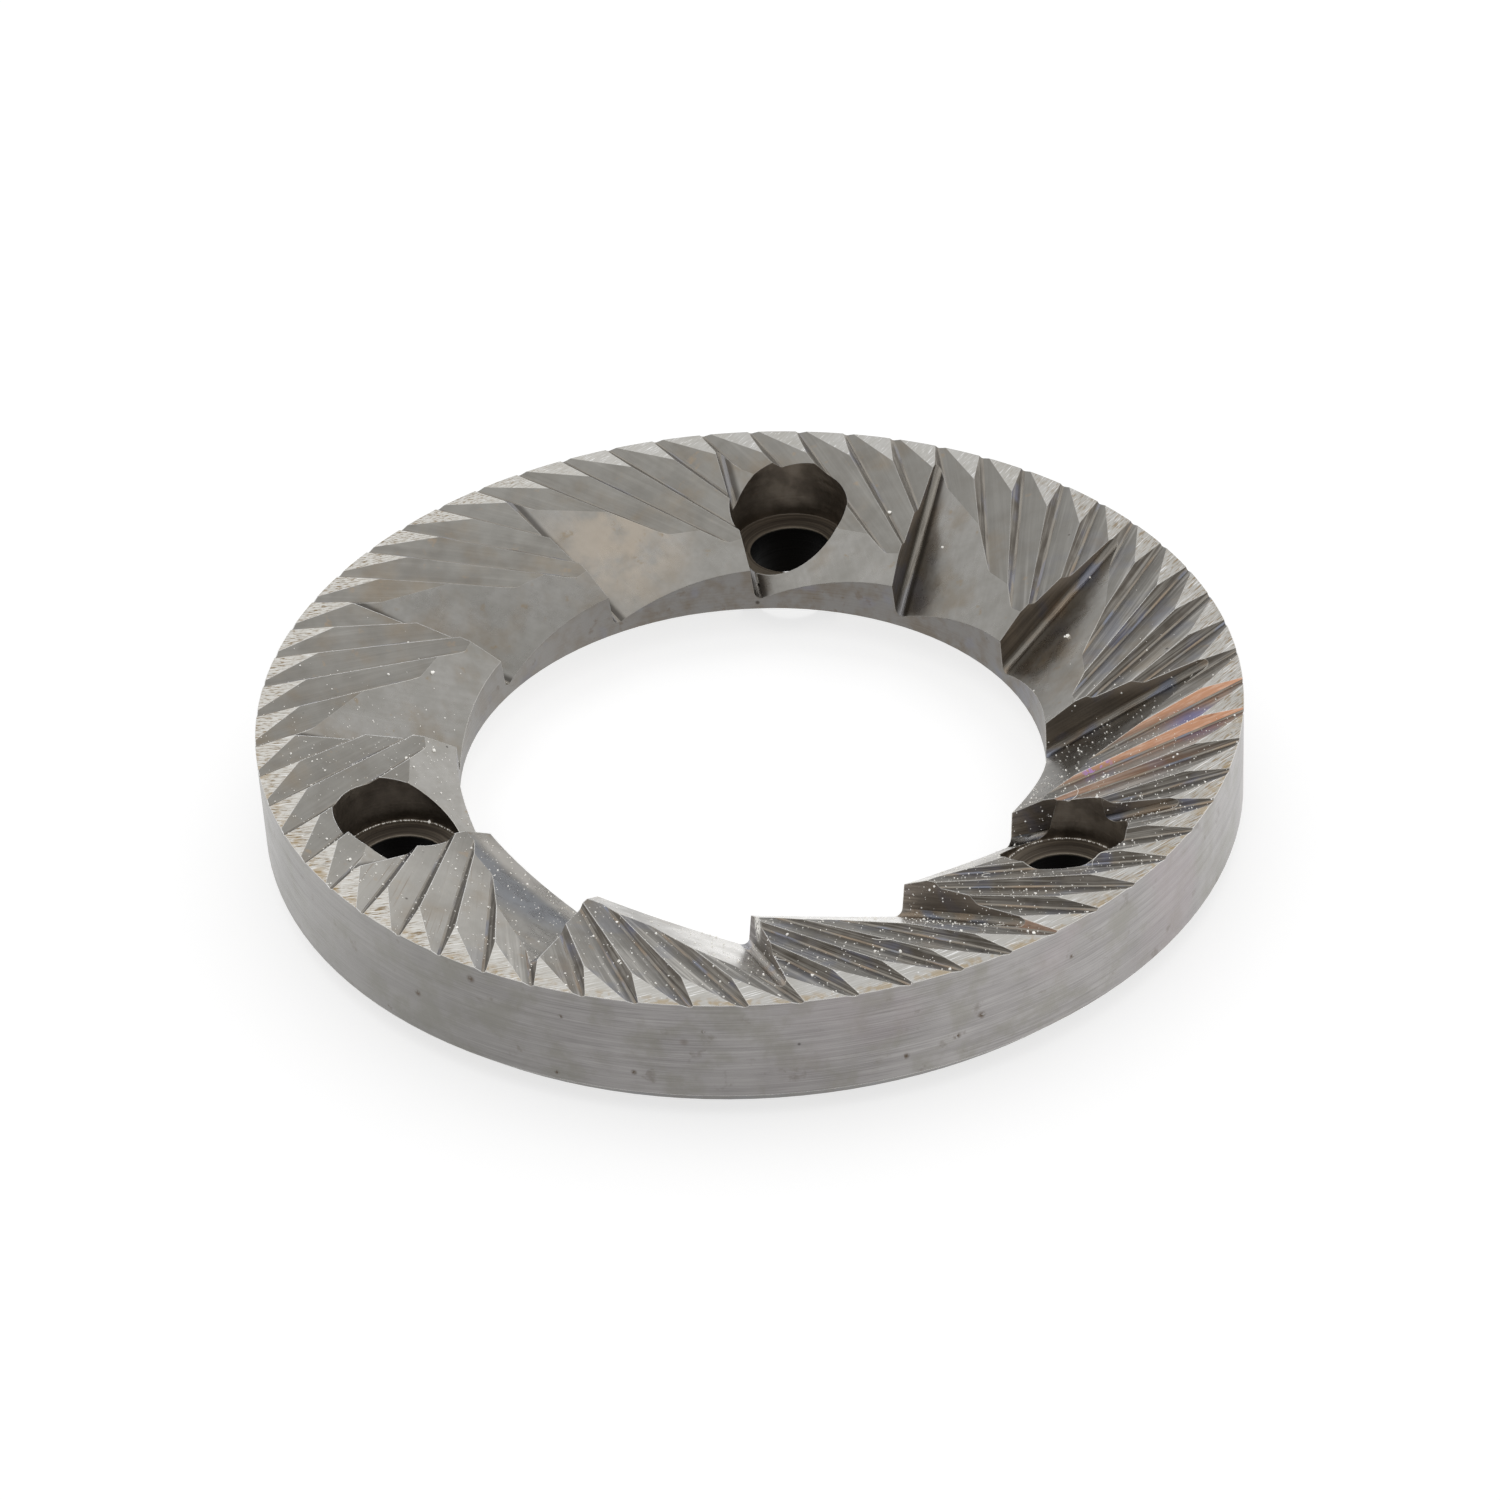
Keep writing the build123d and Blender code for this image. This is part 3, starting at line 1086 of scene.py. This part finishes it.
def fibre(luck, place, up):
    """A curled hair of triangles lying on a surface."""
    steps, sides = 14, 5
    side = np.cross(up, luck.normal(size=3))
    side /= np.linalg.norm(side)
    ahead = np.cross(side, up)
    heading = luck.uniform(0, 2 * pi) + np.cumsum(luck.normal(luck.uniform(-0.25, 0.25), 0.12, steps))
    pace = luck.uniform(0.09, 0.15) * MM
    run = np.cumsum(np.cos(heading)[:, None] * side + np.sin(heading)[:, None] * ahead, 0) * pace
    ring = 2 * pi * np.arange(sides) / sides
    lift = np.sin(np.linspace(0, pi, steps))[:, None] * up * FIBRE_ARCH
    across = -np.sin(heading)[:, None] * side + np.cos(heading)[:, None] * ahead
    verts = (place + run + lift)[:, None] + FIBRE_RADIUS * (
        np.cos(ring)[None, :, None] * across[:, None] + np.sin(ring)[None, :, None] * up
    )
    base = (np.arange(steps - 1)[:, None] * sides + np.arange(sides)).ravel()
    turned = (np.arange(steps - 1)[:, None] * sides + (np.arange(sides) + 1) % sides).ravel()
    faces = np.concatenate(
        [np.stack([base, turned, turned + sides], 1), np.stack([base, turned + sides, base + sides], 1)]
    )
    return verts.reshape(-1, 3), faces


# The lens, fitted to the ring's edges in the photograph: its place in metres and turn in degrees
LENS_PLACE = (0.0, -0.281711, 0.207436)
LENS_TURN = (54.1537, 2.7707, -1.9817)
LAMP_PLACE = (-0.12, 0.03, 0.45)
LAMP_SIDE = 0.5
# Half the side of the board, how far it lies under the burr, and where it mirrors darkest
BOARD_REACH = 1.5
BOARD_DROP = 0.02 * MM
DARK_MIRROR = (-0.012, -0.045, 0)


def soft_box(scene, power):
    """A square area lamp over the burr, aimed at the middle of its back."""
    lamp = bpy.data.lights.new("Overhead box", "AREA")
    lamp.energy = power
    lamp.size = LAMP_SIDE
    made = bpy.data.objects.new("Overhead box", lamp)
    made.location = LAMP_PLACE
    made.rotation_euler = (-Vector(LAMP_PLACE)).to_track_quat("-Z", "Y").to_euler()
    scene.collection.objects.link(made)


def seen_directly(tree):
    """1 for rays from the lens, from reflections and through see-through things, 0 for other light."""
    path = node(tree, "ShaderNodeLightPath").outputs
    shown = path["Is Camera Ray"]
    for kind in ("Is Glossy Ray", "Is Transmission Ray"):
        shown = node(tree, "ShaderNodeMath", {0: shown, 1: path[kind]}, operation="MAXIMUM").outputs[0]
    return shown


class BURR_OT_studio(Operator):
    """Lay the white floor, hang the lamp and set the camera"""

    bl_idname = "burr.studio"
    bl_label = "Studio"

    def execute(self, context):
        scene = context.scene
        look = scene.studio_look
        mesh = bpy.data.meshes.new("floor")
        sides = ((-1, -1), (1, -1), (1, 1), (-1, 1))
        mesh.from_pydata([(BOARD_REACH * x, BOARD_REACH * y, 0) for x, y in sides], [], [(0, 1, 2, 3)])
        floor = bpy.data.objects.new("floor", mesh)
        floor.location.z = -BOARD_DROP
        scene.collection.objects.link(floor)
        sheet = bpy.data.materials.new("Matt white board")
        sheet.use_nodes = True
        tree = sheet.node_tree
        tree.nodes.clear()
        matt = node(tree, "ShaderNodeBsdfDiffuse", {"Color": shade(look.board)})
        place = node(tree, "ShaderNodeTexCoord").outputs["Object"]
        # Metal mirrors the board darker than it is, most of all in front of the ring
        away = node(
            tree, "ShaderNodeVectorMath", {0: place, 1: DARK_MIRROR}, operation="DISTANCE"
        ).outputs["Value"]
        mirrored = band(tree, away, 0.008, 0.045, 0.5, 0.9)
        outward = node(tree, "ShaderNodeVectorMath", {0: place}, operation="LENGTH").outputs["Value"]
        # For the lens the board glows by 0.7 within the bore and by 0.68 outside the rim
        within = band(tree, outward, 0.0175, 0.0205, 0.7, 0.75)
        outside = band(tree, outward, 0.026, 0.032, 1, 0.907)
        faced = product(tree, within, outside)
        shown = node(tree, "ShaderNodeLightPath").outputs
        levels = {"Factor": shown["Is Glossy Ray"], 2: faced, 3: mirrored}
        level = node(tree, "ShaderNodeMix", levels, data_type="FLOAT").outputs[0]
        strength = product(tree, seen_directly(tree), level)
        glow = node(tree, "ShaderNodeEmission", {"Color": shade(look.backdrop), "Strength": strength})
        both = node(tree, "ShaderNodeAddShader", {0: matt.outputs[0], 1: glow.outputs[0]})
        node(tree, "ShaderNodeOutputMaterial", {"Surface": both.outputs[0]})
        mesh.materials.append(sheet)

        world = bpy.data.worlds.new("Studio")
        world.use_nodes = True
        scene.world = world
        tree = world.node_tree
        tree.nodes.clear()
        # The lens and see-through things get a white room. Metal mirrors a darker one that
        # brightens to the back and the right, or its dark flanks would wash out
        path = node(tree, "ShaderNodeLightPath").outputs
        direction = node(tree, "ShaderNodeTexCoord").outputs["Generated"]
        facing = node(tree, "ShaderNodeSeparateXYZ", {0: direction})
        behind = band(tree, facing.outputs["Y"], -0.3, 0.75, 0.38, 0.84)
        right = band(tree, facing.outputs["X"], -0.6, 0.6, 0.0, 0.26)
        room = node(tree, "ShaderNodeMath", {0: behind, 1: right}, operation="ADD").outputs[0]
        for kind in ("Is Camera Ray", "Is Transmission Ray"):
            room = node(tree, "ShaderNodeMath", {0: room, 1: path[kind]}, operation="MAXIMUM").outputs[0]
        back = node(tree, "ShaderNodeBackground", {"Color": shade(look.backdrop), "Strength": room})
        node(tree, "ShaderNodeOutputWorld", {"Surface": back.outputs[0]})

        soft_box(scene, look.lamp_power)

        lens = bpy.data.cameras.new("Camera")
        lens.lens = look.focal_length
        lens.sensor_width = 36
        lens.clip_start = 0.01
        camera = bpy.data.objects.new("Camera", lens)
        camera.location = LENS_PLACE
        camera.rotation_euler = [radians(turn) for turn in LENS_TURN]
        scene.collection.objects.link(camera)
        scene.camera = camera
        scene.view_settings.view_transform = "Standard"
        return {"FINISHED"}


class BURR_PT_panel(Panel):
    """Lists the makers of the burr's pieces and their sizes and colours"""

    bl_label = "Grinder burr"
    bl_space_type = "VIEW_3D"
    bl_region_type = "UI"
    bl_category = "Burr"

    def draw(self, context):
        layout = self.layout
        for maker in MAKERS:
            layout.operator(maker.bl_idname)
        for name in SETTINGS:
            group = getattr(context.scene, name)
            box = layout.box()
            for prop in group.bl_rna.properties:
                if prop.identifier not in ("rna_type", "name"):
                    box.prop(group, prop.identifier)


SETTINGS = {
    "burr_ring": BurrRing,
    "breaker_cuts": BreakerCuts,
    "grinding_grooves": GrindingGrooves,
    "steel_look": SteelLook,
    "dust_look": DustLook,
    "studio_look": StudioLook,
}
MAKERS = (BURR_OT_studio, BURR_OT_body, BURR_OT_dust)


def register():
    for group in SETTINGS.values():
        bpy.utils.register_class(group)
    for name, group in SETTINGS.items():
        setattr(bpy.types.Scene, name, PointerProperty(type=group))
    for made in (*MAKERS, BURR_PT_panel):
        bpy.utils.register_class(made)


def unregister():
    for made in (BURR_PT_panel, *reversed(MAKERS)):
        bpy.utils.unregister_class(made)
    for name, group in SETTINGS.items():
        delattr(bpy.types.Scene, name)
        bpy.utils.unregister_class(group)


def main():
    register()
    bpy.ops.burr.studio()
    bpy.ops.burr.body()
    bpy.ops.burr.dust()


if __name__ == "__main__":
    main()
